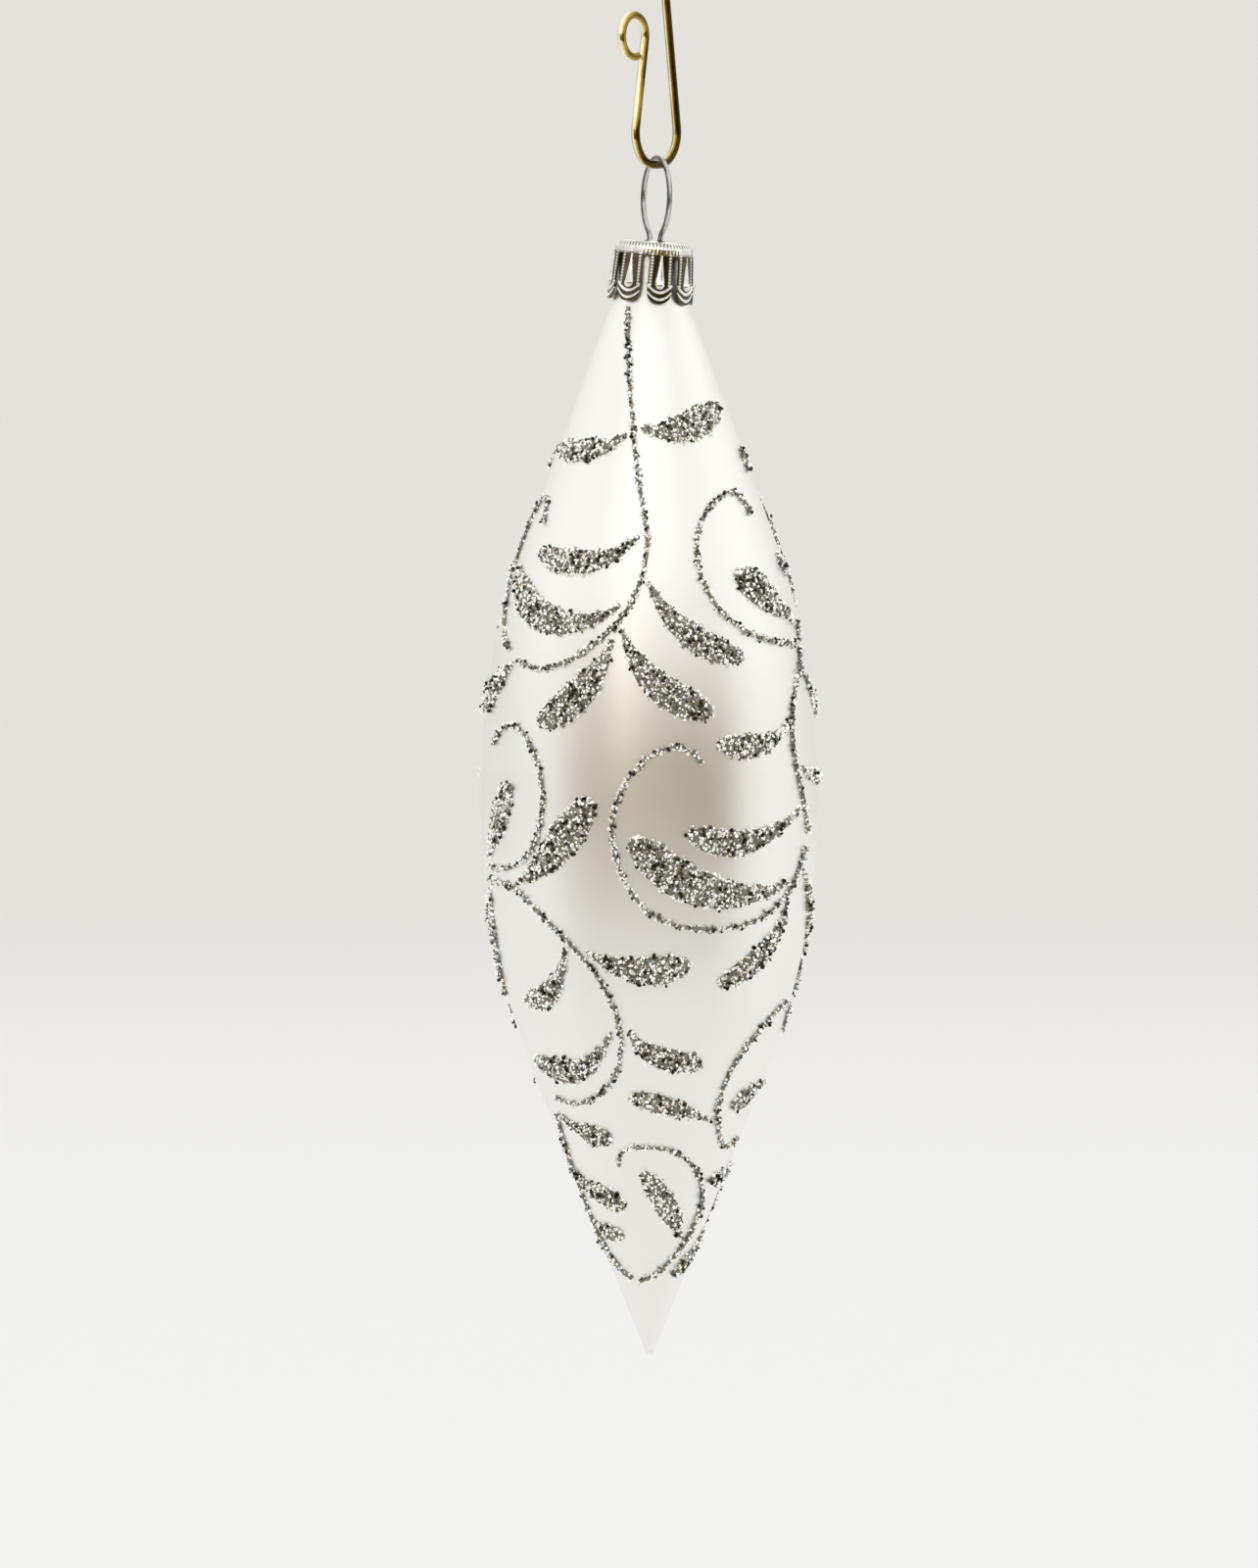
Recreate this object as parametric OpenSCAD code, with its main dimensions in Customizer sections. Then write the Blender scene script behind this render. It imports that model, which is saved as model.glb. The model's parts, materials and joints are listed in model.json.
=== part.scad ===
// Olive ornament: blown glass body with glitter vines, crown cap, wire hanger and S hook.
// Millimetres, +Z up, the front faces -Y. The origin is where the upper crook bears on its branch.

/* [Glass] */
// Diameter of the widest ring
glass_d = 45; // [40:0.5:52]
// Height from the widest ring up to the foot of the neck
upper_h = 67.5; // [62:0.5:75]
// Depth from the widest ring down to the end of the point
lower_h = 75; // [68:0.5:85]
// Radius of the long arc above the widest ring
upper_arc = 98; // [80:1:110]
// Radius of the long arc below the widest ring
lower_arc = 103; // [80:1:118]
// Thickness of the blown wall
wall = 0.8; // [0.6:0.05:1]
// Outside diameter of the neck
neck_d = 8.4; // [8:0.1:9]
// Diameter of the bead that seals the point
bead_d = 1.3; // [1:0.1:2]

/* [Crown cap] */
// Sheet thickness of the stamping
sheet = 0.2; // [0.15:0.01:0.25]
// Height from the tab ends to the top
cap_h = 8; // [7:0.1:9]
// Outside diameter of the band under the top
band_d = 10.3; // [10.2:0.1:12]
// Radius of the rolled upper edge
edge_r = 0.9; // [0.6:0.05:1.2]
// Number of petal tabs
tabs = 8; // [6:1:10]
// Slit between two tabs
slit_w = 1; // [0.6:0.05:1.3]
// Height of the unsplit band and top above the slits
band_h = 1.7; // [1.4:0.05:2.4]
// Radius of the embossed drop at its round end
drop_r = 0.75; // [0.5:0.05:0.9]
// Lean of the cap on the glass, to the right as seen from the front
cap_lean = 5; // [0:0.5:6]
// Clearance between the tabs and the glass
tab_clear = 0.08; // [0.06:0.02:0.3]

/* [Hanger] */
// Diameter of the hanger wire
wire_d = 0.7; // [0.5:0.05:0.9]
// Radius of the loop at the middle of the wire
loop_r = 5.3; // [4.5:0.1:7]
// Half the distance between the legs where they enter the cap
leg_half = 2.1; // [1.9:0.05:2.3]
// Radius of the bend between loop and leg
pinch_r = 1.6; // [1:0.1:2.5]
// Length of a leg below the cap top
leg_len = 14; // [9:0.5:18]
// Outward spring of each leg
leg_splay = 2; // [0:0.25:2.5]
// Lean of the loop, to the right as seen from the front
loop_lean = 2; // [0:0.5:5]
// Turn of the loop from the front
loop_turn = -71; // [-80:1:-60]

/* [Hook] */
// Diameter of the hook wire
hook_d = 1.15; // [0.9:0.05:1.4]
// Bend radius of a crook at the middle of the wire
crook_r = 4.3; // [3.8:0.1:6]
// Straight length at the bottom of a crook
crook_flat = 1.2; // [0.8:0.1:2]
// Distance between the centres of the two crooks
hook_span = 65; // [50:1:90]
// Inward lean of the arm that carries the curled eye
arm_lean = 10.5; // [8:0.5:14]
// Length of that arm
arm_len = 11.7; // [10:0.1:15]
// Radius of the curled eye at the middle of the wire
eye_r = 2.75; // [2.5:0.05:3.2]
// Turn of the hook from the front
hook_turn = 56; // [45:1:65]
// How far along the crook's flat the loop hangs
hang_at = 0.3; // [0:0.05:0.4]

/* [Glitter vines] */
// Width of a stem
stem_w = 0.95; // [0.7:0.05:1.3]
// Height of a stem over the glass
stem_h = 0.5; // [0.3:0.05:0.7]
// Height of a leaf over the glass
leaf_h = 0.6; // [0.3:0.05:0.8]
// Width of the widest leaf
leaf_w = 5.4; // [4:0.1:5.8]
// Glue line between glass and glitter
glue = 0.06; // [0.06:0.01:0.1]
// Longest step along a stem
stem_step = 1.7; // [1.2:0.1:1.8]

/* [Hidden] */
$fn = 64;

// glass outline: two long arcs, each running tangent into a straight taper
glass_r0 = glass_d / 2;
neck_r = neck_d / 2;
bead_r = bead_d / 2;
tip_h = lower_h - 1.4 * bead_r;
function taper(end_r, end_h, arc) =
    let (dx = end_r - glass_r0 + arc) atan2(end_h, dx) - acos(arc / norm([dx, end_h]));
up_a = taper(neck_r, upper_h, upper_arc);
low_a = taper(bead_r * 1.1, tip_h, lower_arc);
function arc_of(z) = z >= 0 ? upper_arc : lower_arc;
function taper_of(z) = z >= 0 ? up_a : low_a;
function lean_at(z) = let (s = abs(z) / arc_of(z), a = taper_of(z))
    sign(z) * (s < sin(a) ? asin(s) : a);
function radius_at(z) = let (f = abs(lean_at(z)), arc = arc_of(z))
    glass_r0 - arc * (1 - cos(f)) - (abs(z) - arc * sin(f)) * tan(f);

// cap seat on the glass, and the room that its lean needs
seat_drop = 2.6;
neck_room = 0.3;
crown_rise = 0.25;
slot_clear = 0.12;
tab_dip = 0.05;
seat_h = upper_h - seat_drop;
band_r = band_d / 2;
tab_in = radius_at(seat_h - band_r * sin(cap_lean)) + tab_clear;
tab_r = tab_in + sheet;
neck_h = seat_h + cap_h - sheet - neck_r * sin(cap_lean) - neck_room;
pitch = 360 / tabs;
tab_end = 0.94 * (2 * tab_r * sin(pitch / 2) - slit_w) / 2;

// hanger: loop, pinch and legs, measured from the cap top
wire_r = wire_d / 2;
pinch_run = 0.4;
pinch_a = acos((leg_half + pinch_r) / norm([loop_r + pinch_r, pinch_run]))
    - atan2(pinch_run, loop_r + pinch_r);
loop_h = (loop_r + pinch_r) * sin(pinch_a) + pinch_run * cos(pinch_a);

// hook: the shank is the crossed tangent of the two crooks
hook_r = hook_d / 2;
shank_lean = atan2(crook_flat, hook_span) + asin(crook_r / norm([hook_span / 2, crook_flat / 2]));
knee = [crook_flat / 2 + crook_r * cos(shank_lean), crook_r * sin(shank_lean) - hook_span / 2];

// places: the loop hangs in the lower crook, the cap leans about its seat, the glass stands upright
hang_slack = 0.05;
contact_z = -(hook_span + 2 * crook_r - hook_r);
contact = [hang_at * cos(hook_turn), hang_at * sin(hook_turn), contact_z];
hang_h = loop_h + loop_r - hook_r - wire_r - hang_slack;
crown = contact - hang_h * [sin(loop_lean), 0, cos(loop_lean)];
seat = crown - cap_h * [sin(cap_lean), 0, cos(cap_lean)];

// strokes: a point is [degrees round the glass from the front, percent of the way up (+) or down (-)],
// and a leaf is its base, middle and tip with its width in percent of the widest leaf
function high(p) = p[1] / 100 * (p[1] >= 0 ? upper_h : lower_h);
function skin(t, z, n) = let (f = lean_at(z), r = radius_at(z) + n * cos(f))
    [r * sin(t), -r * cos(t), z + n * sin(f)];
function spot(p) = [p[0], high(p)];
// sideways step on the glass from a stroke's middle line
function beside(p, d, w, n) = let (
    r = radius_at(p[1]), c = cos(lean_at(p[1])),
    v = [d[0] * r * PI / 180, d[1] / c], u = v / norm(v))
    skin(p[0] - u[1] * w / r * 180 / PI, p[1] + u[0] * w * c, n);
// curve through points, with its direction
function bend(a, b, c, d, s) = 0.5 * (2 * b + (c - a) * s + (2 * a - 5 * b + 4 * c - d) * s * s
    + (3 * b - a - 3 * c + d) * s * s * s);
function bend_way(a, b, c, d, s) = 0.5 * (c - a + 2 * (2 * a - 5 * b + 4 * c - d) * s
    + 3 * (3 * b - a - 3 * c + d) * s * s);
function reach(a, b) = let (r = radius_at((a[1] + b[1]) / 2))
    norm([(b[0] - a[0]) * r * PI / 180, b[1] - a[1]]);
// rings of points along a stem of constant width and along a drop-shaped leaf
function stem_rings(q) = let (p = [for (k = q) spot(k)], m = len(p) - 1) [
    for (i = [0 : m - 1]) let (
        a = i > 0 ? p[i - 1] : 2 * p[0] - p[1], d = i < m - 1 ? p[i + 2] : 2 * p[m] - p[m - 1],
        n = max(1, ceil(reach(p[i], p[i + 1]) / stem_step)))
    for (k = [0 : (i < m - 1 ? n - 1 : n)]) let (
        c = bend(a, p[i], p[i + 1], d, k / n), w = bend_way(a, p[i], p[i + 1], d, k / n), h = stem_w / 2)
    [beside(c, w, -h, glue), beside(c, w, -0.55 * h, glue + stem_h),
     beside(c, w, 0.55 * h, glue + stem_h), beside(c, w, h, glue)]];
leaf_steps = 9;
leaf_full_ratio = 0.7;
leaf_least = 0.5;
function leaf_rings(q) = let (
    a = spot(q[0]), m = spot(q[1]), b = spot(q[2]), k = 2 * m - (a + b) / 2,
    steps = max(leaf_steps, ceil(reach(a, b) / stem_step))) [
    for (i = [0 : steps]) let (
        s = 1 - pow(1 - i / steps, 1.35),
        c = (1 - s) * (1 - s) * a + 2 * s * (1 - s) * k + s * s * b,
        w = (1 - s) * (k - a) + s * (b - k),
        f = s < leaf_full_ratio ? 0.14 + 0.86 * pow(sin(90 * s / leaf_full_ratio), 1.3)
            : sqrt(1 - pow((s - leaf_full_ratio) / (1.02 - leaf_full_ratio), 2)),
        h = max(leaf_least, leaf_w * q[3] / 100 * f) / 2, top = glue + leaf_h * (0.55 + 0.45 * f))
    [beside(c, w, -h, glue), beside(c, w, -0.6 * h, glue + (top - glue) * 0.8), beside(c, w, 0, top),
     beside(c, w, 0.6 * h, glue + (top - glue) * 0.8), beside(c, w, h, glue),
     beside(c, w, h / 3, glue), beside(c, w, -h / 3, glue)]];
function ring_faces(rings, o) = let (n = len(rings[0]), m = len(rings)) concat(
    [for (i = [0 : m - 2], j = [0 : n - 1]) let (k = (j + 1) % n)
        each [[o + i * n + j, o + i * n + n + j, o + i * n + k],
              [o + i * n + k, o + i * n + n + j, o + i * n + n + k]]],
    [for (j = [1 : n - 2]) [o, o + j, o + j + 1]],
    [for (j = [1 : n - 2]) let (e = o + (m - 1) * n) [e, e + j + 1, e + j]]);
function flat(a) = [for (x = a) each x];
function before(a, i) = i == 0 ? 0 : before(a, i - 1) + len(a[i - 1]) * len(a[i - 1][0]);

// one laid-on vine: its stems and leaves, turned to its side of the glass
module vine(stems, leaves, turn) {
    rings = concat([for (q = stems) stem_rings(q)], [for (q = leaves) leaf_rings(q)]);
    color([0.8, 0.8, 0.82]) translate(seat - [0, 0, seat_h]) rotate([0, 0, turn])
        polyhedron(points = flat(flat(rings)),
            faces = flat([for (i = [0 : len(rings) - 1]) ring_faces(rings[i], before(rings, i))]));
}

upper_stems = [
    [[-31, 95.3], [-25, 90], [-20, 84], [-14, 76], [-9.5, 68], [-4.5, 59], [-1, 50], [-3.5, 43], [-10, 36],
     [-20, 30.5], [-32, 26.5], [-44, 25], [-56, 26.5]],
    [[-62, 53], [-66, 57], [-73, 58], [-82, 54.5], [-86, 48], [-82, 40], [-74, 33], [-64, 28.5]]];
upper_leaves = [
    [[-6, 72], [21, 71.7], [62, 76], 85], [[-15.5, 70.8], [-37, 67.8], [-74, 67.5], 65],
    [[-5, 51], [-27, 46], [-57, 47.7], 70], [[-0.5, 42.3], [14, 32.5], [36, 27.3], 75],
    [[-12, 37.5], [-41, 34.5], [-74, 44], 85], [[-14.5, 31], [-23.5, 21.8], [-41, 14.5], 90],
    [[-10.5, 33], [2, 22.7], [22, 16.7], 85], [[-59, 26], [-69, 22], [-79, 16.5], 75]];
side_stems = [
    [[60, 54.5], [57.5, 57.5], [50, 59.3], [41, 58.5], [30, 55.8], [22, 50], [22, 43], [29, 36.5], [41, 32],
     [56, 30], [70, 29.5]],
    [[77, 34], [75, 30], [70, 25.5], [62, 20], [58, 13], [59, 6], [64, -1], [69, -7]]];
side_leaves = [
    [[78, 68], [77, 66], [78, 63], 30], [[76, 47], [78, 45], [82, 42.5], 30],
    [[73.5, 33.5], [55.5, 38.7], [40, 44], 95], [[55.5, 14.6], [41, 10.3], [24, 11], 65],
    [[62, 5.5], [71, 4], [80, 3], 35], [[71.5, 24], [80, 20], [85, 15], 35]];
middle_stems = [
    [[18, 7], [12, 10], [3, 9.5], [-6, 5], [-12, -2], [-12, -9], [-6, -16.7], [5, -21.3], [19, -22.8],
     [35, -22.4], [49, -20], [60, -15.5], [67, -9]]];
middle_leaves = [
    [[62, -2], [36, -7.6], [13, -5.6], 70], [[56, -15.3], [21, -16.2], [-6, -6.8], 100],
    [[58, -18.5], [48.5, -27], [28, -32.7], 70], [[66.5, -13], [79, -20], [88, -26], 35]];
left_stems = [
    [[-67, 10], [-62, 13], [-52, 13.5], [-43, 9], [-39, 2], [-40, -5], [-47, -10.5], [-60, -13],
     [-72, -12.5]],
    [[-75, -15], [-56, -16], [-44, -20], [-33, -24.5], [-24, -29], [-17, -34], [-13, -39.5], [-13, -45],
     [-18, -49.8], [-29, -53], [-43, -54.4], [-60, -53.6]]];
left_leaves = [
    [[-72.5, -11], [-64, -5.5], [-55, 2.5], 80], [[-53, -15.1], [-35, -9.6], [-20.5, 0], 95],
    [[-24, -26.8], [-5, -30.1], [15, -29], 80], [[-33, -26.5], [-42, -34], [-60, -36], 65],
    [[-9, -41], [2, -45.2], [25, -47], 65], [[-16.5, -41.2], [-36, -48.2], [-66, -46.7], 70],
    [[-75.5, -16.5], [-80, -26], [-86, -36], 35]];
lower_stems = [
    [[-64, -56.5], [-70, -61], [-74, -66], [-76, -71], [-76, -76], [-68, -80.5], [-50, -84], [-30, -86]],
    [[-22, -65.5], [-19, -63], [-6, -62], [13, -62.5], [30, -65], [46, -69.5], [53, -74.5], [46, -79],
     [31, -82.5], [4, -85.5], [-18, -86.5]],
    [[86, -42], [82, -38], [73, -37], [62, -39], [50, -43.5], [42, -48.5], [40, -54], [46, -59.5],
     [60, -62.5], [73, -61]]];
lower_leaves = [
    [[-60, -57], [-41, -59.8], [-24, -60], 60], [[-70, -67.5], [-49, -70.3], [-22, -73], 60],
    [[-68, -76], [-53, -77.3], [-30, -78.5], 50], [[37, -78.5], [19, -74], [-5, -66.5], 60],
    [[84, -77.5], [68, -82], [38, -85.5], 40], [[86, -65.5], [74, -67.5], [54, -68.5], 45],
    [[84, -51], [66, -53], [52, -55.5], 65], [[38, -57.3], [14, -55], [-10, -52.7], 55]];

// bent wire helpers, all in the XZ plane
module wire_arc(at, r, w, from, sweep) {
    translate([at[0], 0, at[1]]) rotate([90, 0, 0]) rotate([0, 0, from]) rotate_extrude(angle = sweep)
        translate([r, 0]) circle(r = w);
}
module wire_run(at, lean, len, w) {
    translate([at[0], 0, at[1]]) rotate([0, lean, 0]) cylinder(h = len, r = w);
}
// the slight swelling where a bend begins
module wire_bend(at, lean, w) {
    translate([at[0], 0, at[1]]) rotate([0, lean, 0]) sphere(r = w * 1.03);
}

// one end of the S hook: crook, then the arm with its curled eye
module hook_end() {
    low = -hook_span / 2;
    right = [crook_flat / 2, low];
    left = [-crook_flat / 2, low];
    wire_arc(right, crook_r, hook_r, -90, 90 + shank_lean);
    wire_run([-crook_flat / 2, low - crook_r], 90, crook_flat, hook_r);
    wire_arc(left, crook_r, hook_r, 180 - arm_lean, 90 + arm_lean);
    foot = left + crook_r * [-cos(arm_lean), sin(arm_lean)];
    wire_run(foot, arm_lean, arm_len, hook_r);
    head = foot + arm_len * [sin(arm_lean), cos(arm_lean)];
    wire_arc(head - eye_r * [cos(arm_lean), -sin(arm_lean)], eye_r, hook_r, -arm_lean, 300);
    wire_bend(knee, -shank_lean, hook_r);
    for (s = [-1, 1]) wire_bend([s * crook_flat / 2, low - crook_r], 90, hook_r);
    for (p = [foot, head]) wire_bend(p, arm_lean, hook_r);
}

// S hook of one gold wire
module hook() {
    color([0.8, 0.62, 0.3]) translate([0, 0, hook_r - crook_r - hook_span / 2]) rotate([0, 0, hook_turn]) {
        wire_run(knee, -shank_lean, 2 * norm(knee), hook_r);
        hook_end();
        rotate([0, 180, 0]) hook_end();
    }
}

// things that lean with the cap
module on_cap() {
    translate(seat) rotate([0, cap_lean, 0]) children();
}

// wire loop with its two sprung legs
module hanger_loop() {
    color([0.78, 0.78, 0.8]) translate(crown) rotate([0, loop_lean, 0]) rotate([0, 0, loop_turn]) {
        wire_arc([0, loop_h], loop_r, wire_r, -pinch_a, 180 + 2 * pinch_a);
        for (s = [0, 180]) rotate([0, 0, s]) {
            neck = [loop_r * cos(pinch_a), loop_h - loop_r * sin(pinch_a)];
            waist = neck - pinch_run * [sin(pinch_a), cos(pinch_a)];
            foot = [leg_half + pinch_r - pinch_r * cos(leg_splay), -pinch_r * sin(leg_splay)];
            wire_run(neck, 180 + pinch_a, pinch_run, wire_r);
            wire_arc([leg_half + pinch_r, 0], pinch_r, wire_r, 180 - pinch_a, pinch_a + leg_splay);
            wire_run(foot, 180 - leg_splay, leg_len, wire_r);
            for (p = [neck, waist]) wire_bend(p, pinch_a, wire_r);
            wire_bend(foot, -leg_splay, wire_r);
        }
    }
}

// outline of the gap between two tabs, seen square on
module tab_gap() {
    side = slit_w / 2 + tab_end;
    head = cap_h - band_h - slit_w / 2;
    polygon(concat(
        [[-side, -1], [side, -1]],
        [for (a = [270 : -15 : 180]) [side, tab_end - tab_dip] + tab_end * [cos(a), sin(a)]],
        [for (a = [0 : 30 : 180]) [0, head] + slit_w / 2 * [cos(a), sin(a)]],
        [for (a = [0 : -15 : -90]) [-side, tab_end - tab_dip] + tab_end * [cos(a), sin(a)]]));
}

// stamped crown cap
drop_at = 1.9;
drop_len = 3.8;
drop_tip = 0.28;
drop_point = 0.2;
drop_sink = 0.35;
drop_trim = 0.03;
module crown_cap() {
    low_edge = cap_h - edge_r;
    slope = atan((tab_r - band_r) / low_edge);
    far = leg_half + leg_len * sin(leg_splay);
    slot_r = wire_r + slot_clear;
    turn = [band_r - edge_r, low_edge];
    color([0.86, 0.86, 0.88]) on_cap() difference() {
        union() {
            difference() {
                rotate_extrude() polygon(concat(
                    [[tab_in, 0], [tab_r, 0]],
                    [for (a = [0 : 15 : 90]) turn + edge_r * [cos(a), sin(a)]],
                    [[0, cap_h + crown_rise], [0, cap_h + crown_rise - sheet]],
                    [for (a = [90 : -15 : 0]) turn + (edge_r - sheet) * [cos(a), sin(a)]]));
                for (i = [0 : tabs - 1]) rotate([0, 0, (i + 0.5) * pitch - 78]) translate([2, 0, 0])
                    rotate([90, 0, 90]) linear_extrude(height = 6) tab_gap();
            }
            for (i = [0 : tabs - 1]) rotate([0, 0, i * pitch - 78]) translate([tab_r, 0, 0])
                rotate([0, -slope, 0]) translate([-drop_sink, 0, drop_at]) rotate_extrude() polygon(concat(
                    [for (a = [-90 : 20 : 10]) drop_r * [cos(a), sin(a)]],
                    [[drop_tip, drop_len - drop_point], [0, drop_len]]));
        }
        translate([0, 0, -1]) cylinder(h = 1 + low_edge, r2 = band_r - sheet - drop_trim,
            r1 = tab_in - drop_trim + (tab_in - band_r + sheet) / low_edge);
        rotate([0, 0, loop_turn]) for (s = [0, 180]) rotate([0, 0, s]) translate([0, 0, cap_h - 2])
            linear_extrude(height = 3) polygon(concat(
                [for (a = [-90 : 30 : 90]) [far, 0] + slot_r * [cos(a), sin(a)]],
                [for (a = [90 : 30 : 270]) [leg_half, 0] + slot_r * [cos(a), sin(a)]]));
    }
}

// half outline of the glass from its lower taper to its upper one, drawn in by a given amount
arc_steps = 14;
function half_outline(in) = concat(
    [for (i = [arc_steps : -1 : 1]) let (a = low_a * i / arc_steps)
        [glass_r0 - lower_arc + (lower_arc - in) * cos(a), -(lower_arc - in) * sin(a)]],
    [for (i = [0 : arc_steps]) let (a = up_a * i / arc_steps)
        [glass_r0 - upper_arc + (upper_arc - in) * cos(a), (upper_arc - in) * sin(a)]]);
function turned(p) = [for (i = [len(p) - 1 : -1 : 0]) p[i]];

// blown glass: body, neck and sealed point
module glass_body() {
    inner = half_outline(wall);
    top = inner[len(inner) - 1];
    bore = neck_r - wall;
    color([0.93, 0.93, 0.92]) translate(seat - [0, 0, seat_h]) rotate_extrude() polygon(concat(
        [for (a = [-90 : 20 : 10]) [bead_r * cos(a), bead_r * (1 + sin(a)) - lower_h]],
        [[bead_r * 1.1, -tip_h]],
        half_outline(0),
        [[neck_r, upper_h]],
        [for (a = [0 : 30 : 180]) [neck_r - wall / 2 * (1 - cos(a)), neck_h - wall / 2 * (1 - sin(a))]],
        [[bore, top[1] + (top[0] - bore) / tan(up_a)]],
        turned(inner),
        [[0, inner[0][1] - inner[0][0] / tan(low_a)]]));
}

hook();
hanger_loop();
crown_cap();
glass_body();
vine(upper_stems, upper_leaves, 0);  // upper_vine_front
vine(side_stems, side_leaves, 0);  // side_vine_front
vine(middle_stems, middle_leaves, 0);  // middle_vine_front
vine(left_stems, left_leaves, 0);  // left_vine_front
vine(lower_stems, lower_leaves, 0);  // lower_vine_front
vine(upper_stems, upper_leaves, 180);  // upper_vine_back
vine(side_stems, side_leaves, 180);  // side_vine_back
vine(middle_stems, middle_leaves, 180);  // middle_vine_back
vine(left_stems, left_leaves, 180);  // left_vine_back
vine(lower_stems, lower_leaves, 180);  // lower_vine_back
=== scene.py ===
import json
import math

import bpy
from mathutils import Matrix, Vector

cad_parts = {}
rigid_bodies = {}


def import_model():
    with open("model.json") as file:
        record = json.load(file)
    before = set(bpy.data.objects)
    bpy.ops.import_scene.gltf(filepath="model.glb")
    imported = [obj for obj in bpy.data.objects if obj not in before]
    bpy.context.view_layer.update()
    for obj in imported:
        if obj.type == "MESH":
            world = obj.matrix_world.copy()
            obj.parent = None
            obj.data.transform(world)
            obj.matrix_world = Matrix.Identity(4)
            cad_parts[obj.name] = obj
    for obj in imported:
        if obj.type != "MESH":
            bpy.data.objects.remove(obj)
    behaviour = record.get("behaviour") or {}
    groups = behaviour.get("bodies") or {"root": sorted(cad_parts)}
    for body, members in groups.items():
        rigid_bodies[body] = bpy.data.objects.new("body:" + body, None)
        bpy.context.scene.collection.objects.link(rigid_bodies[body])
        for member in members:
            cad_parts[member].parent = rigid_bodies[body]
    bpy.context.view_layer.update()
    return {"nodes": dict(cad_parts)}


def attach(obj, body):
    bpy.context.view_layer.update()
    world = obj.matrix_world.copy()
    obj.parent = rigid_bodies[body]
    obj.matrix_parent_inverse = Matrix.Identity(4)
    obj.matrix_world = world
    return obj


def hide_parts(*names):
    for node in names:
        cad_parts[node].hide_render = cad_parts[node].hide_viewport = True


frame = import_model()


# Hook: one length of bright gold wire, bent by hand over pegs into an S.
# Both ends are curled to a small eye, and the cut ends are slightly rounded.
# The upper crook sits on the branch; the lower one carries the hanger loop.
mm = 0.001
hook_r = 0.575 * mm
crook_r = 4.3 * mm
crook_flat = 1.2 * mm
half_span = 32.5 * mm
arm_lean = math.radians(10.5)
arm_len = 11.7 * mm
eye_r = 2.75 * mm
curl = math.radians(300)
hook_turn = math.radians(56)
hook_sides, crook_steps, eye_steps = 24, 24, 60
arm_pieces, flat_pieces, shank_pieces = 10, 2, 40
shank_lean = (math.atan2(crook_flat, 2 * half_span)
              + math.asin(crook_r / math.hypot(half_span, crook_flat / 2)))
hook_place = Matrix.Translation((0, 0, hook_r - crook_r - half_span)) @ Matrix.Rotation(hook_turn, 4, "Z")

# a cut end widens in steps: length, width before and width after, all in radii of the wire
end_rounding = ((0.16, 0.55, 0.82), (0.22, 0.82, 1))
end_len = sum(step for step, narrow, wide in end_rounding)


def in_space(place, flat):
    """A direction in the flat drawing of a wire, turned to where the wire stands."""
    return place.to_3x3() @ Vector((flat[0], 0, flat[1]))


def at_place(place, flat):
    """A point in the flat drawing of a wire, moved to where the wire stands."""
    return place @ Vector((flat[0], 0, flat[1]))


def draw_wire(place, along, pieces=1):
    """Runs the wire on in a straight line."""
    for _ in range(pieces):
        bpy.ops.mesh.extrude_region_move(TRANSFORM_OT_translate={"value": in_space(place, along) / pieces})


def bend_wire(place, centre, angle, steps):
    """Bends the wire on round a peg; a positive angle turns from +X to +Z."""
    peg_way = place.to_3x3() @ Vector((0, 1, 0))
    bpy.ops.mesh.spin(steps=steps, angle=angle, center=at_place(place, centre), axis=peg_way)


def start_wire(name, place, at, way, radius, sides):
    """The cut end of a wire: a small ring that widens to the full round, with the two sides marked that get
    painted shade.
    """
    at, way = Vector(at), Vector(way).normalized()
    turn = in_space(place, way).to_track_quat("Z", "Y").to_euler()
    bpy.ops.object.select_all(action="DESELECT")
    bpy.ops.mesh.primitive_circle_add(vertices=sides, radius=end_rounding[0][1] * radius,
                                      location=at_place(place, at), rotation=turn)
    wire = bpy.context.object
    wire.name = name
    bpy.ops.object.transform_apply(location=True, rotation=True, scale=True)
    shaded_way = place.to_3x3() @ Vector((0, 1, 0))
    shade_mark = wire.data.attributes.new("dull_side", "FLOAT", "POINT")
    for point in wire.data.vertices:
        outwards = (point.co - at_place(place, at)).normalized()
        shade_mark.data[point.index].value = abs(outwards.dot(shaded_way))
    bpy.ops.object.mode_set(mode="EDIT")
    bpy.ops.mesh.select_all(action="SELECT")
    for step, narrow, wide in end_rounding:
        at += way * step * radius
        draw_wire(place, way * step * radius)
        bpy.ops.transform.resize(value=[wide / narrow] * 3, center_override=at_place(place, at))
    return wire


def end_wire(place, at, way, radius):
    """Rounds the other cut end off and closes both ends."""
    at, way = Vector(at), Vector(way).normalized()
    for step, narrow, wide in reversed(end_rounding):
        at += way * step * radius
        draw_wire(place, way * step * radius)
        bpy.ops.transform.resize(value=[narrow / wide] * 3, center_override=at_place(place, at))
    bpy.ops.mesh.select_all(action="SELECT")
    bpy.ops.mesh.remove_doubles(threshold=0.001 * mm)
    bpy.ops.mesh.fill_holes(sides=0)
    bpy.ops.mesh.normals_make_consistent(inside=False)
    bpy.ops.object.mode_set(mode="OBJECT")
    bpy.ops.object.shade_smooth_by_angle(angle=math.radians(50))


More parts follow.
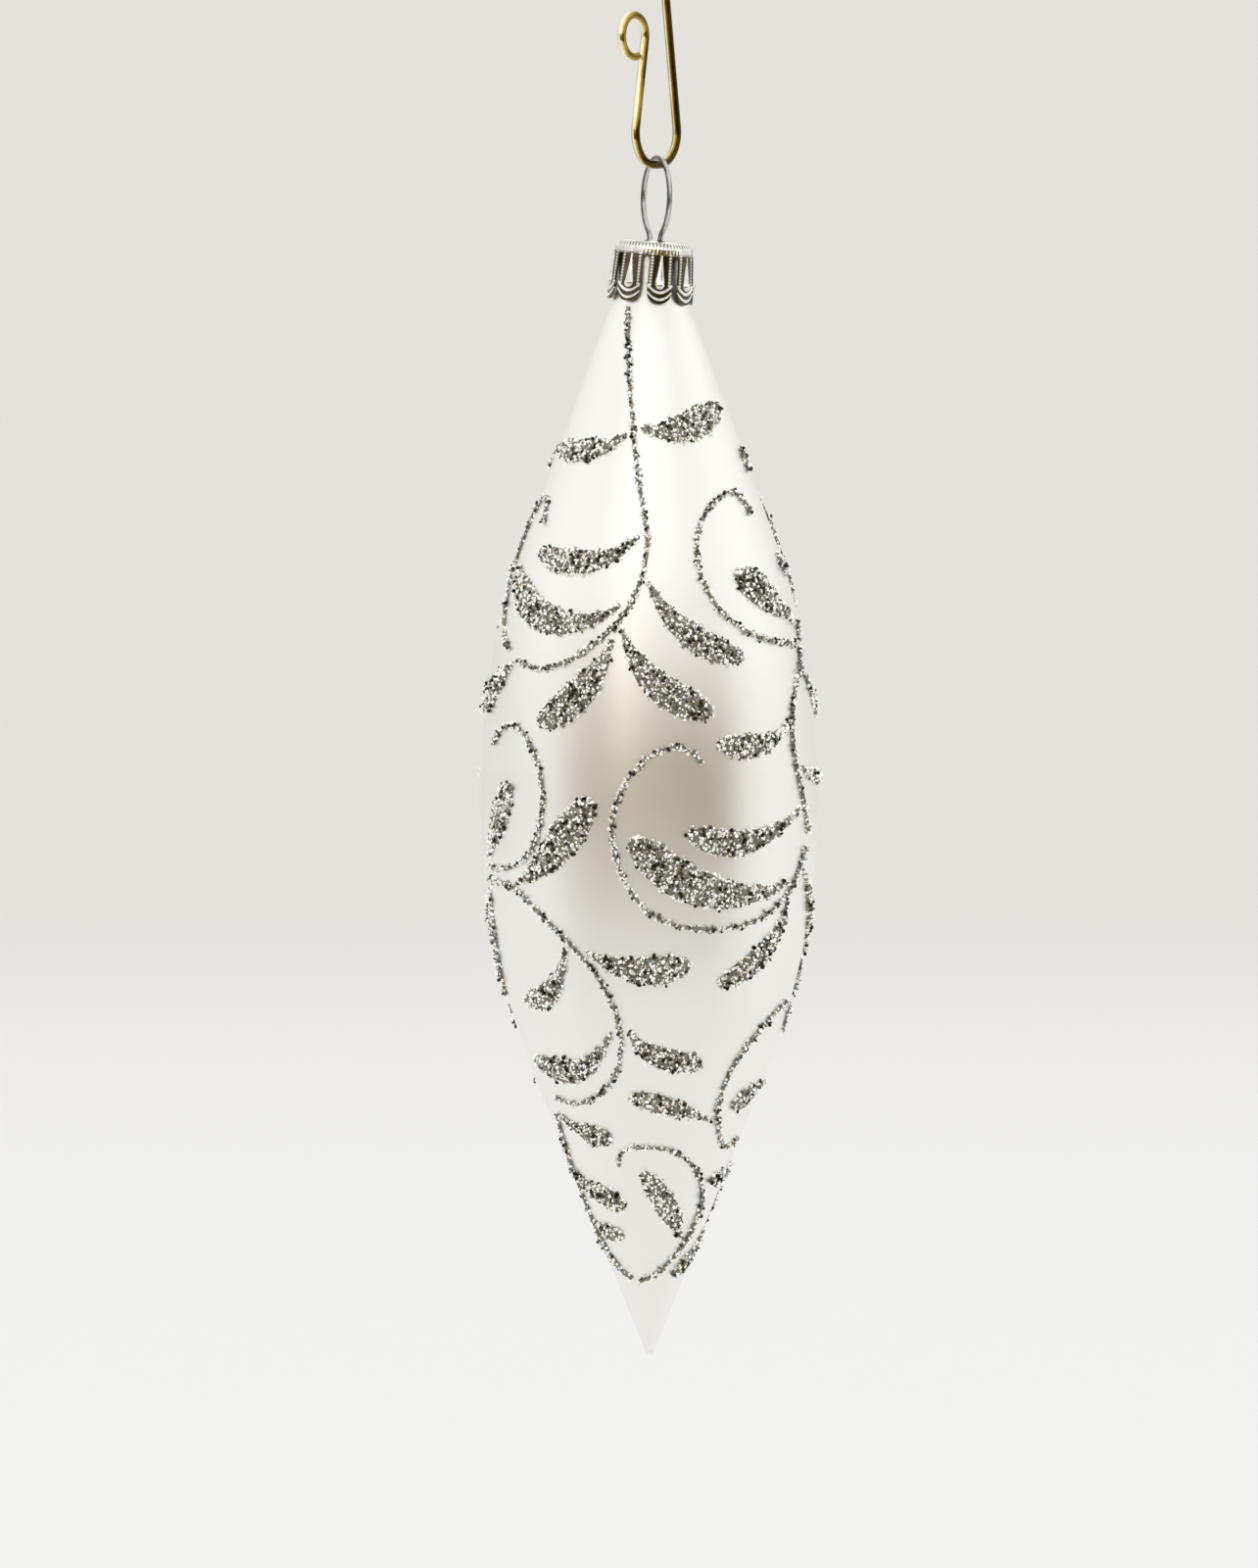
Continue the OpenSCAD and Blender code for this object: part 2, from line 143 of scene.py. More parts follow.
# pegs, arm, eye and cut end of the lower crook; turned half round they make the upper one
left = Vector((-crook_flat / 2, -half_span))
right = Vector((crook_flat / 2, -half_span))
arm = arm_len * Vector((math.sin(arm_lean), math.cos(arm_lean)))
head = left + crook_r * Vector((-math.cos(arm_lean), math.sin(arm_lean))) + arm
eye = head - eye_r * Vector((math.cos(arm_lean), -math.sin(arm_lean)))
cut = curl - arm_lean
cut_at = eye + eye_r * Vector((math.cos(cut), math.sin(cut)))
cut_way = Vector((math.sin(cut), -math.cos(cut)))
knee = right + crook_r * Vector((math.cos(shank_lean), math.sin(shank_lean)))

hook = start_wire("hook_wire", hook_place, cut_at - end_len * hook_r * cut_way, cut_way, hook_r, hook_sides)
bend_wire(hook_place, eye, -curl, eye_steps)
draw_wire(hook_place, -arm, arm_pieces)
bend_wire(hook_place, left, math.pi / 2 + arm_lean, crook_steps)
draw_wire(hook_place, (crook_flat, 0), flat_pieces)
bend_wire(hook_place, right, math.pi / 2 + shank_lean, crook_steps)
draw_wire(hook_place, -2 * knee, shank_pieces)
bend_wire(hook_place, -right, -math.pi / 2 - shank_lean, crook_steps)
draw_wire(hook_place, (crook_flat, 0), flat_pieces)
bend_wire(hook_place, -left, -math.pi / 2 - arm_lean, crook_steps)
draw_wire(hook_place, -arm, arm_pieces)
bend_wire(hook_place, -eye, curl, eye_steps)
end_wire(hook_place, -cut_at, cut_way, hook_r)


def new_finish(name, metallic=0):
    """A material whose shader waits for its colour, roughness and relief."""
    finish = bpy.data.materials.new(name)
    finish.use_nodes = True
    finish.node_tree.nodes["Principled BSDF"].inputs["Metallic"].default_value = metallic
    return finish


def clouds(finish, scale, detail=2):
    """A cloudy pattern that is fixed to the piece."""
    place_in = finish.node_tree.nodes.new("ShaderNodeTexCoord")
    pattern = finish.node_tree.nodes.new("ShaderNodeTexNoise")
    pattern.inputs["Scale"].default_value = scale
    pattern.inputs["Detail"].default_value = detail
    finish.node_tree.links.new(place_in.outputs["Object"], pattern.inputs["Vector"])
    return pattern.outputs["Fac"]


def marked(finish, name):
    """What is marked on the points of the mesh under this name."""
    mark = finish.node_tree.nodes.new("ShaderNodeAttribute")
    mark.attribute_name = name
    return mark.outputs["Fac"]


def tones(finish, value, *stops):
    """Colours along a value; each stop is a place from 0 to 1 and its colour."""
    ramp = finish.node_tree.nodes.new("ShaderNodeValToRGB")
    for end, (at, colour) in zip(ramp.color_ramp.elements, (stops[0], stops[-1])):
        end.position = at
        end.color = (*colour, 1)
    for at, colour in stops[1:-1]:
        ramp.color_ramp.elements.new(at).color = (*colour, 1)
    finish.node_tree.links.new(value, ramp.inputs["Fac"])
    return ramp.outputs["Color"]


def spread(finish, value, low, high, to_low=0, to_high=1):
    """Spreads what lies between low and high over another range."""
    lay = finish.node_tree.nodes.new("ShaderNodeMapRange")
    lay.inputs["From Min"].default_value = low
    lay.inputs["From Max"].default_value = high
    lay.inputs["To Min"].default_value = to_low
    lay.inputs["To Max"].default_value = to_high
    finish.node_tree.links.new(value, lay.inputs["Value"])
    return lay.outputs["Result"]


def relief(finish, height, strength, depth):
    """A fine relief in the skin of the piece."""
    bump = finish.node_tree.nodes.new("ShaderNodeBump")
    bump.inputs["Strength"].default_value = strength
    bump.inputs["Distance"].default_value = depth
    finish.node_tree.links.new(height, bump.inputs["Height"])
    return bump.outputs["Normal"]


def wire_painted_shade(finish, pattern, glint_shift, low, high):
    """How much painted shade a wire gets: most on its two marked sides, and less where the pattern shifts a
    painted highlight onto it.
    """
    shade_sum = finish.node_tree.nodes.new("ShaderNodeMath")
    shade_sum.operation = "MULTIPLY_ADD"
    shade_sum.inputs[1].default_value = -glint_shift
    finish.node_tree.links.new(pattern, shade_sum.inputs[0])
    finish.node_tree.links.new(marked(finish, "dull_side"), shade_sum.inputs[2])
    return spread(finish, shade_sum.outputs[0], low, high)


def lay_on(finish, **skin):
    """Joins each part of the skin to its place on the shader, or sets it where it is a plain value."""
    shader = finish.node_tree.nodes["Principled BSDF"]
    places = {"colour": "Base Color", "roughness": "Roughness", "normal": "Normal"}
    for part, value in skin.items():
        socket = shader.inputs[places[part]]
        if isinstance(value, (int, float, tuple)):
            socket.default_value = value
        else:
            finish.node_tree.links.new(value, socket)


# gold with painted shade on two sides of the wire and painted highlights between them, a painted reflection
# of a dark room; the cloudy pattern shifts them along the wire and also varies the roughness
gold = new_finish("gold_wire", metallic=1)
wear_and_glint = clouds(gold, scale=130, detail=3)
painted_shade = wire_painted_shade(gold, wear_and_glint, glint_shift=1.6, low=-0.8, high=0.15)
glint_gold, half_shaded_gold, shaded_gold = (1, 0.92, 0.62), (0.58, 0.4, 0.09), (0.06, 0.034, 0.005)
scratches = clouds(gold, scale=5200, detail=3)
lay_on(gold, colour=tones(gold, painted_shade, (0.08, glint_gold), (0.45, half_shaded_gold), (0.92, shaded_gold)),
       roughness=spread(gold, wear_and_glint, low=0.3, high=0.7, to_low=0.16, to_high=0.08),
       normal=relief(gold, scratches, strength=0.08, depth=0.05 * mm))
hook.data.materials.append(gold)
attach(hook, "hook")
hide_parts("hook")


# Hanger loop: thin bright steel wire, wound round a peg to an open ring and pinched at the cap.
# Its two straight legs go down through the cap's slots and spring outwards inside the glass neck.
wire_r = 0.35 * mm
loop_r = 5.3 * mm
pinch_r = 1.6 * mm
pinch_run = 0.4 * mm
leg_half = 2.1 * mm
leg_len = 14 * mm
splay = math.radians(2)
lean = math.radians(2)
loop_turn = math.radians(-71)
hang_at = 0.3 * mm
hang_gap = 0.05 * mm
loop_sides, loop_steps, pinch_steps, leg_pieces = 18, 72, 14, 10
pinch = (math.acos((leg_half + pinch_r) / math.hypot(loop_r + pinch_r, pinch_run))
         - math.atan2(pinch_run, loop_r + pinch_r))
loop_h = (loop_r + pinch_r) * math.sin(pinch) + pinch_run * math.cos(pinch)
contact = Vector((hang_at * math.cos(hook_turn), hang_at * math.sin(hook_turn),
                  hook_r - 2 * half_span - 2 * crook_r))
hang_len = loop_h + loop_r - hook_r - wire_r - hang_gap
crown = contact - hang_len * Vector((math.sin(lean), 0, math.cos(lean)))
loop_place = (Matrix.Translation(crown) @ Matrix.Rotation(lean, 4, "Y")
              @ Matrix.Rotation(loop_turn, 4, "Z"))

# peg of the pinch and foot of the leg on one side; the other side is its mirror image
peg = Vector((leg_half + pinch_r, 0))
foot = peg - pinch_r * Vector((math.cos(splay), math.sin(splay)))
leg = leg_len * Vector((math.sin(splay), -math.cos(splay)))
leg_up = -leg.normalized()
other_foot = Vector((-foot[0], foot[1]))
other_leg = Vector((-leg[0], leg[1])).normalized()
straight = leg_len - end_len * wire_r
hanger = start_wire("hanger_wire", loop_place, foot + leg, leg_up, wire_r, loop_sides)
draw_wire(loop_place, leg_up * straight, leg_pieces)
bend_wire(loop_place, peg, -pinch - splay, pinch_steps)
draw_wire(loop_place, pinch_run * Vector((math.sin(pinch), math.cos(pinch))))
bend_wire(loop_place, (0, loop_h), math.pi + 2 * pinch, loop_steps)
draw_wire(loop_place, pinch_run * Vector((math.sin(pinch), -math.cos(pinch))))
bend_wire(loop_place, -peg, -pinch - splay, pinch_steps)
draw_wire(loop_place, other_leg * straight, leg_pieces)
end_wire(loop_place, other_foot + other_leg * straight, other_leg, wire_r)

# steel with painted shade on two sides of the wire and painted highlights between them, a painted reflection
# of a dark room; its cloudy pattern shifts them along the wire and also varies the roughness
steel = new_finish("silver_wire", metallic=1)
drawn_marks_and_glint = clouds(steel, scale=260, detail=2)
painted_shade = wire_painted_shade(steel, drawn_marks_and_glint, glint_shift=1.2, low=-0.6, high=0.4)
glint_steel, shaded_steel = (0.66, 0.66, 0.65), (0.11, 0.11, 0.105)
scratches = clouds(steel, scale=6500)
lay_on(steel, colour=tones(steel, painted_shade, (0.2, glint_steel), (0.8, shaded_steel)),
       roughness=spread(steel, drawn_marks_and_glint, low=0.3, high=0.7, to_low=0.32, to_high=0.16),
       normal=relief(steel, scratches, strength=0.1, depth=0.04 * mm))
hanger.data.materials.append(steel)
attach(hanger, "hanger")
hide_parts("hanger_loop")


# Crown cap: one stamping of thin bright sheet, slit into eight petals that sit on the shoulder of the glass.
# Each petal is embossed with a long drop ending in a bead, two milled rails and two curved ribs at its tip.
# The domed top has two slots for the legs of the hanger.
cap_h = 8 * mm
sheet = 0.2 * mm
tab_r = 5.67 * mm
band_r = 5.15 * mm
edge_r = 0.9 * mm
band_h = 1.7 * mm
crown_rise = 0.25 * mm
slit = 1 * mm
petal_count = 8
half_petal = math.pi / petal_count
first_petal = math.radians(-78)
tip_h, tip_blunt = 1.5 * mm, 0.12
ripples, ripple_h, ripple_gap = 8, 0.03 * mm, 0.05 * mm
# the crimp valleys and the low parts of each petal's emboss get painted shade, which fades out over a short
# run near the band
crimps, crimp_depth, crimp_shade = 8, 0.12 * mm, 0.85
unshaded_lift, unshaded_from, unshaded_run = 0.16 * mm, 6.2 * mm, 0.7 * mm
slot_r, slot_depth, slot_sides = 0.47 * mm, 2 * mm, 24
columns, rows = 44, 120
wall_share, roll_share = 0.88, 0.06
cap_lean = math.radians(5)
seat = crown - cap_h * Vector((math.sin(cap_lean), 0, math.cos(cap_lean)))
cap_place = Matrix.Translation(seat) @ Matrix.Rotation(cap_lean, 4, "Y")
low_edge = cap_h - edge_r
slope = math.atan((tab_r - band_r) / low_edge)
slit_top = cap_h - band_h - slit / 2


def take_up(*pieces):
    """Selects these pieces alone, with the first as the active one."""
    bpy.ops.object.select_all(action="DESELECT")
    for piece in pieces:
        piece.select_set(True)
    bpy.context.view_layer.objects.active = pieces[0]


def emboss(across, up, half):
    """Height of the stamped relief of one petal; every length in here is in millimetres."""
    drop_low, drop_high = 2.4, 6.3
    drop_slim, drop_swell, drop_taper = 0.14, 0.56, 1.3
    drop_thin, drop_thick, drop_round = 0.12, 0.2, 0.6
    bead_r, bead_h = 0.62, 0.55
    rail_in, rail_half, rail_low, rail_high, rail_fade = 0.34, 0.22, 1.9, 6.5, 0.3
    rail_h, tooth_h, tooth_pitch = 0.12, 0.09, 0.4
    ribs, rib_sag, rib_reach = ((1.4, 0.26, 0.27), (0.5, 0.18, 0.22)), 0.5, 1.2
    lift = 0
    if drop_low < up < drop_high:
        share = 1 - (up - drop_low) / (drop_high - drop_low)
        width = drop_slim + drop_swell * share ** drop_taper
        if abs(across) < width:
            lift = (drop_thin + drop_thick * share) * (1 - (across / width) ** 2) ** drop_round
    from_bead = math.hypot(across, up - drop_low) / bead_r
    if from_bead < 1:
        lift = max(lift, bead_h * math.sqrt(1 - from_bead ** 2))
    rail = (abs(across) - half + rail_in) / rail_half
    if abs(rail) < 1 and rail_low < up < rail_high:
        fade = min(1, (up - rail_low) / rail_fade, (rail_high - up) / rail_fade)
        lift += fade * (1 - rail * rail) * (rail_h + tooth_h * math.cos(2 * math.pi * up / tooth_pitch))
    for base, high, wide in ribs:
        rib = (up - base - rib_sag * (across / rib_reach) ** 2) / wide
        if abs(rib) < 1:
            lift = max(lift, high * (1 - rib * rib))
    return lift


# a flat grid is shaped into one petal: its wall, the rolled edge and its slice of the domed top
bpy.ops.object.select_all(action="DESELECT")
bpy.ops.mesh.primitive_grid_add(x_subdivisions=columns, y_subdivisions=rows, size=2)
petal = bpy.context.object
petal.name = "cap_petal"
# each point keeps its painted light: the hollows of the emboss and the crimp valleys get painted shade, which
# fades out towards the band and is gone on the top
shine = petal.data.attributes.new("shine", "FLOAT", "POINT")
for point in petal.data.vertices:
    across, along = point.co.x, (point.co.y + 1) / 2
    bright = 1
    spin = across * half_petal
    if along < wall_share:
        up = low_edge * (along / wall_share)
        radius = tab_r - up * math.tan(slope)
        sector = radius * half_petal
        half = sector
        if up < slit_top:
            half = sector - slit / 2
            if up < tip_h:
                half *= tip_blunt + (1 - tip_blunt) * math.sqrt(1 - (1 - up / tip_h) ** 2)
        elif up < slit_top + slit / 2:
            half = sector - math.sqrt((slit / 2) ** 2 - (up - slit_top) ** 2)
        side = across * half
        lift = emboss(side / mm, up / mm, (sector - slit / 2) / mm) * mm
        bright = min(1, lift / unshaded_lift + max(0, (up - unshaded_from) / unshaded_run))
        if up > slit_top + slit / 2 + ripple_gap:
            lift += ripple_h * math.cos(ripples * math.pi * across)
        spin = side / radius
        radius += lift * math.cos(slope)
        up += lift * math.sin(slope)
    elif along < wall_share + roll_share:
        roll = math.pi / 2 * (along - wall_share) / roll_share
        crimp = crimp_depth * math.sin(2 * roll) * (1 - math.cos(crimps * math.pi * across)) / 2
        bright = 1 - crimp_shade * crimp / crimp_depth
        radius = band_r - edge_r + (edge_r - crimp) * math.cos(roll)
        up = low_edge + (edge_r - crimp) * math.sin(roll)
    else:
        share = (along - wall_share - roll_share) / (1 - wall_share - roll_share)
        radius = (band_r - edge_r) * (1 - share)
        up = cap_h + crown_rise * (1 - (1 - share) ** 2)
    spin += first_petal
    point.co = (radius * math.cos(spin), radius * math.sin(spin), up)
    shine.data[point.index].value = bright
petals = [petal]
for turn in range(1, petal_count):
    take_up(petal)
    bpy.ops.object.duplicate()
    copy = bpy.context.object
    copy.data.transform(Matrix.Rotation(2 * half_petal * turn, 4, "Z"))
    petals.append(copy)
take_up(*petals)
bpy.ops.object.join()
cap = bpy.context.object
cap.name = "cap_stamping"
bpy.ops.object.mode_set(mode="EDIT")
bpy.ops.mesh.select_all(action="SELECT")
bpy.ops.mesh.remove_doubles(threshold=0.004 * mm)
bpy.ops.mesh.normals_make_consistent(inside=False)
bpy.ops.object.mode_set(mode="OBJECT")
thick = cap.modifiers.new("sheet", "SOLIDIFY")
thick.thickness = sheet
thick.offset = -1
bpy.ops.object.modifier_apply(modifier="sheet")

# each slot reaches as far out as the splayed leg does when it is drawn up through it
splay_run = leg_len * math.sin(splay)
for side in (loop_turn, loop_turn + math.pi):
    bpy.ops.object.select_all(action="DESELECT")
    bpy.ops.mesh.primitive_cylinder_add(vertices=slot_sides, radius=slot_r, depth=slot_depth,
                                        location=(leg_half, 0, cap_h))
    slot = bpy.context.object
    slot.name = "slot_punch"
    bpy.ops.object.transform_apply(location=True, rotation=True, scale=True)
    for point in slot.data.vertices:
        if point.co.x > leg_half:
            point.co.x += splay_run
    slot.data.transform(Matrix.Rotation(side, 4, "Z"))
    punch = cap.modifiers.new("punch", "BOOLEAN")
    punch.operation = "DIFFERENCE"
    punch.solver = "EXACT"
    punch.object = slot
    take_up(cap)
    bpy.ops.object.modifier_apply(modifier="punch")
    bpy.data.objects.remove(slot)
cap.data.transform(cap_place)
bpy.ops.object.shade_smooth_by_angle(angle=math.radians(45))

chrome = new_finish("cap_sheet", metallic=1)
wear = clouds(chrome, scale=900, detail=6)
dull_chrome, bright_chrome = (0.66, 0.65, 0.62), (0.93, 0.93, 0.91)
hollow_shade, no_shade = (0.13, 0.11, 0.065), (1, 1, 1)
# the wear colours are multiplied by the painted light marked on the points, which puts painted shade, dark
# brown, in the hollows and crimp valleys
worn_and_shaded = chrome.node_tree.nodes.new("ShaderNodeMix")
worn_and_shaded.data_type = "RGBA"
worn_and_shaded.blend_type = "MULTIPLY"
worn_and_shaded.inputs["Factor"].default_value = 1
chrome.node_tree.links.new(
    tones(chrome, wear, (0.3, dull_chrome), (0.6, bright_chrome)), worn_and_shaded.inputs["A"])
chrome.node_tree.links.new(
    tones(chrome, marked(chrome, "shine"), (0.12, hollow_shade), (0.75, no_shade)), worn_and_shaded.inputs["B"])
scratches = clouds(chrome, scale=4200, detail=4)
lay_on(chrome, colour=worn_and_shaded.outputs["Result"],
       roughness=spread(chrome, wear, low=0.3, high=0.7, to_low=0.2, to_high=0.07),
       normal=relief(chrome, scratches, strength=0.12, depth=0.05 * mm))
cap.data.materials.append(chrome)
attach(cap, "cap")
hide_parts("crown_cap")


# Glass body: one bubble of thin blown glass, drawn out above to an open neck and below to a sealed point.
# It is silvered inside and sprayed with a satin pearl lacquer that blurs what it mirrors.
glass_r = 22.5 * mm
upper_h, lower_h = 67.5 * mm, 75 * mm
upper_arc, lower_arc = 98 * mm, 103 * mm
neck_r = 4.2 * mm
wall = 0.8 * mm
bead = 0.65 * mm
tip_r = 1.1 * bead
tip_depth = lower_h - 1.4 * bead
seat_drop = 2.6 * mm
neck_room = 0.3 * mm
bore = neck_r - wall
arc_steps, glass_steps = 30, 144
middle = seat - Vector((0, 0, upper_h - seat_drop))
neck_top = upper_h - seat_drop + cap_h - sheet - neck_r * math.sin(cap_lean) - neck_room


def taper(end_r, end_h, arc):
    """Angle at which a long arc runs tangent into the straight taper."""
    across = end_r - glass_r + arc
    return math.atan2(end_h, across) - math.acos(arc / math.hypot(across, end_h))


upper_taper = taper(neck_r, upper_h, upper_arc)
lower_taper = taper(tip_r, tip_depth, lower_arc)


def side_of_glass(inset):
    """Half outline from the lower taper to the upper one, drawn in by the wall."""
    low = [(lower_taper * i / arc_steps, lower_arc, -1) for i in range(arc_steps, 0, -1)]
    high = [(upper_taper * i / arc_steps, upper_arc, 1) for i in range(arc_steps + 1)]
    return [(glass_r - arc + (arc - inset) * math.cos(angle), way * (arc - inset) * math.sin(angle))
            for angle, arc, way in low + high]


def straight_run(start, end, shares):
    """Points that lie on the straight from start to end."""
    return [(start[0] + share * (end[0] - start[0]), start[1] + share * (end[1] - start[1]))
            for share in shares]


def round_run(first, last, step):
    """Cosine and sine of each angle on a round stretch, given in whole degrees."""
    angles = [math.radians(degrees) for degrees in range(first, last + 1, step)]
    return [(math.cos(angle), math.sin(angle)) for angle in angles]


def lathe(name, centre, outline, steps, weld):
    """Turns a half outline, as radius and height, about the upright through its centre."""
    bpy.ops.object.select_all(action="DESELECT")
    start = Vector((outline[0][0], 0, outline[0][1]))
    bpy.ops.mesh.primitive_plane_add(size=mm, location=centre + start)
    turned = bpy.context.object
    turned.name = name
    bpy.ops.object.transform_apply(location=True, rotation=True, scale=True)
    bpy.ops.object.mode_set(mode="EDIT")
    bpy.ops.mesh.select_all(action="SELECT")
    bpy.ops.mesh.merge(type="CENTER")
    for here, there in zip(outline, outline[1:]):
        step = (there[0] - here[0], 0, there[1] - here[1])
        bpy.ops.mesh.extrude_region_move(TRANSFORM_OT_translate={"value": step})
    bpy.ops.mesh.select_all(action="SELECT")
    bpy.ops.mesh.spin(steps=steps, angle=2 * math.pi, center=centre, axis=(0, 0, 1))
    bpy.ops.mesh.select_all(action="SELECT")
    bpy.ops.mesh.remove_doubles(threshold=weld)
    bpy.ops.mesh.normals_make_consistent(inside=False)
    bpy.ops.object.mode_set(mode="OBJECT")
    return turned


outer, inner = side_of_glass(0), side_of_glass(wall)
outline = [(0, -lower_h)]
outline += [(bead * cos, bead * (1 + sin) - lower_h) for cos, sin in round_run(-70, 10, 20)]
outline += straight_run((tip_r, -tip_depth), outer[0], (0, 0.25, 0.5, 0.75))
outline += outer
outline += straight_run(outer[-1], (neck_r, upper_h), (0.25, 0.5, 0.75, 1))
outline += [(neck_r - wall / 2 * (1 - cos), neck_top - wall / 2 * (1 - sin))
            for cos, sin in round_run(0, 180, 30)]
outline.append((bore, inner[-1][1] + (inner[-1][0] - bore) / math.tan(upper_taper)))
outline += inner[::-1]
outline.append((0, inner[0][1] - inner[0][0] / math.tan(lower_taper)))
glass = lathe("glass_bubble", middle, outline, glass_steps, weld=0.002 * mm)
bpy.ops.object.shade_smooth_by_angle(angle=math.radians(40))

pearl = new_finish("pearl_glass", metallic=0.97)
mist = clouds(pearl, scale=45, detail=4)
warm_pearl, white_pearl = (0.94, 0.93, 0.9), (0.97, 0.965, 0.945)
frost = clouds(pearl, scale=7000, detail=2)
lay_on(pearl, colour=tones(pearl, mist, (0.3, warm_pearl), (0.7, white_pearl)),
       roughness=spread(pearl, mist, low=0.3, high=0.7, to_low=0.37, to_high=0.43),
       normal=relief(pearl, frost, strength=0.12, depth=0.02 * mm))
glass.data.materials.append(pearl)
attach(glass, "glass")
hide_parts("glass_body")


# Glitter vines: strokes of glue drawn on the glass by hand, then strewn with coarse silvered grains.
# The grains lie every way up, two or three deep on a leaf and about two abreast on a stem.
glue = new_finish("vine_glue")
lumps = clouds(glue, scale=2600)
shaded_glue, clear_glue = (0.1, 0.09, 0.06), (0.4, 0.385, 0.34)
lay_on(glue, colour=tones(glue, lumps, (0.35, shaded_glue), (0.7, clear_glue)), roughness=0.35,
       normal=relief(glue, lumps, strength=0.5, depth=0.1 * mm))

# silver grains, each given by chance a colour from near-black to near-white: painted shade and painted glints
# for facets that mirror dark or bright surroundings
silver = new_finish("glitter", metallic=1)
shaded_grain, glinting_grain = (0.035, 0.03, 0.018), (1, 0.995, 0.97)
lay_on(silver, colour=tones(silver, marked(silver, "grain_tone"), (0.15, shaded_grain), (0.38, glinting_grain)),
       roughness=0.1)

grain_r = 0.5 * mm
smallest, largest = 0.36, 0.78
facet_share = 0.6
grain_forms = (
    ((1, 0.85, 0.7), ((0.5, 0.3, 0.8), (-0.7, 0.6, 0.2))),
    ((0.9, 1, 0.55), ((0.2, -0.5, 0.85), (0.8, 0.5, -0.3))),
    ((1, 0.75, 0.85), ((-0.4, -0.6, 0.7), (0.9, -0.2, 0.4))))
grains = bpy.data.collections.new("grain_shapes")
bpy.context.scene.collection.children.link(grains)
for number, (squash, cuts) in enumerate(grain_forms):
    bpy.ops.object.select_all(action="DESELECT")
    bpy.ops.mesh.primitive_ico_sphere_add(subdivisions=1, radius=grain_r)
    grain = bpy.context.object
    grain.name = f"grain_{number}"
    bpy.ops.object.mode_set(mode="EDIT")
    bpy.ops.mesh.select_all(action="SELECT")
    bpy.ops.transform.resize(value=squash, center_override=(0, 0, 0))
    for facet_way in cuts:
        bpy.ops.mesh.select_all(action="SELECT")
        bpy.ops.mesh.bisect(plane_co=Vector(facet_way).normalized() * facet_share * grain_r,
                            plane_no=facet_way, use_fill=True, clear_outer=True)
    bpy.ops.object.mode_set(mode="OBJECT")
    grain.data.materials.append(silver)
    for holder in list(grain.users_collection):
        holder.objects.unlink(grain)
    grains.objects.link(grain)

grain_gap, most_grains = 0.29 * mm, 3e7
stray_r = 0.24 * mm
full_turn = 6.283
# no grain lies as high as the cap, so that the glass can turn in it
under_cap = min(point.co.z for point in cap.data.vertices) - largest * grain_r
strew = bpy.data.node_groups.new("strew_glitter", "GeometryNodeTree")
strew.interface.new_socket("Geometry", in_out="INPUT", socket_type="NodeSocketGeometry")
strew.interface.new_socket("Geometry", in_out="OUTPUT", socket_type="NodeSocketGeometry")


def chance(kind, low, high, seed):
    """A value drawn for each grain, between low and high."""
    draw = strew.nodes.new("FunctionNodeRandomValue")
    draw.data_type = kind
    draw.inputs["Min"].default_value = low
    draw.inputs["Max"].default_value = high
    draw.inputs["Seed"].default_value = seed
    return draw.outputs["Value"]


# grains are strewn on the pad, stray a little, and are then turned, sized and toned by chance
nodes, links = strew.nodes, strew.links
pad_in = nodes.new("NodeGroupInput")
all_out = nodes.new("NodeGroupOutput")
strewn = nodes.new("GeometryNodeDistributePointsOnFaces")
strewn.distribute_method = "POISSON"
strewn.inputs["Distance Min"].default_value = grain_gap
strewn.inputs["Density Max"].default_value = most_grains
strewn.inputs["Seed"].default_value = 7
shapes = nodes.new("GeometryNodeCollectionInfo")
shapes.inputs["Collection"].default_value = grains
shapes.inputs["Separate Children"].default_value = True
shapes.inputs["Reset Children"].default_value = True
lie = chance("FLOAT_VECTOR", (0, 0, 0), (full_turn, full_turn, full_turn), seed=3)
big = chance("FLOAT", smallest, largest, seed=5)
tone = chance("FLOAT", 0, 1, seed=11)
stray = chance("FLOAT_VECTOR", (-stray_r, -stray_r, -stray_r), (stray_r, stray_r, stray_r), seed=2)
sieved = nodes.new("GeometryNodeInputNamedAttribute")
sieved.data_type = "FLOAT"
sieved.inputs["Name"].default_value = "grain_size"
sized = nodes.new("ShaderNodeMath")
sized.operation = "MULTIPLY"
scatter = nodes.new("GeometryNodeSetPosition")
spot = nodes.new("GeometryNodeInputPosition")
height = nodes.new("ShaderNodeSeparateXYZ")
too_high = nodes.new("FunctionNodeCompare")
too_high.operation = "GREATER_THAN"
too_high.inputs[1].default_value = under_cap
brushed_off = nodes.new("GeometryNodeDeleteGeometry")
drop = nodes.new("GeometryNodeInstanceOnPoints")
drop.inputs["Pick Instance"].default_value = True
keep = nodes.new("GeometryNodeStoreNamedAttribute")
keep.data_type = "FLOAT"
keep.domain = "INSTANCE"
keep.inputs["Name"].default_value = "grain_tone"
solid = nodes.new("GeometryNodeRealizeInstances")
both = nodes.new("GeometryNodeJoinGeometry")
links.new(pad_in.outputs[0], strewn.inputs["Mesh"])
links.new(strewn.outputs["Points"], scatter.inputs["Geometry"])
links.new(stray, scatter.inputs["Offset"])
links.new(spot.outputs[0], height.inputs[0])
links.new(height.outputs["Z"], too_high.inputs[0])
links.new(scatter.outputs[0], brushed_off.inputs["Geometry"])
links.new(too_high.outputs[0], brushed_off.inputs["Selection"])
links.new(brushed_off.outputs[0], drop.inputs["Points"])
links.new(shapes.outputs[0], drop.inputs["Instance"])
links.new(lie, drop.inputs["Rotation"])
links.new(big, sized.inputs[0])
links.new(sieved.outputs["Attribute"], sized.inputs[1])
links.new(sized.outputs[0], drop.inputs["Scale"])
links.new(drop.outputs[0], keep.inputs["Geometry"])
links.new(tone, keep.inputs["Value"])
links.new(keep.outputs[0], solid.inputs[0])
links.new(solid.outputs[0], both.inputs[0])
links.new(pad_in.outputs[0], both.inputs[0])
links.new(both.outputs[0], all_out.inputs[0])

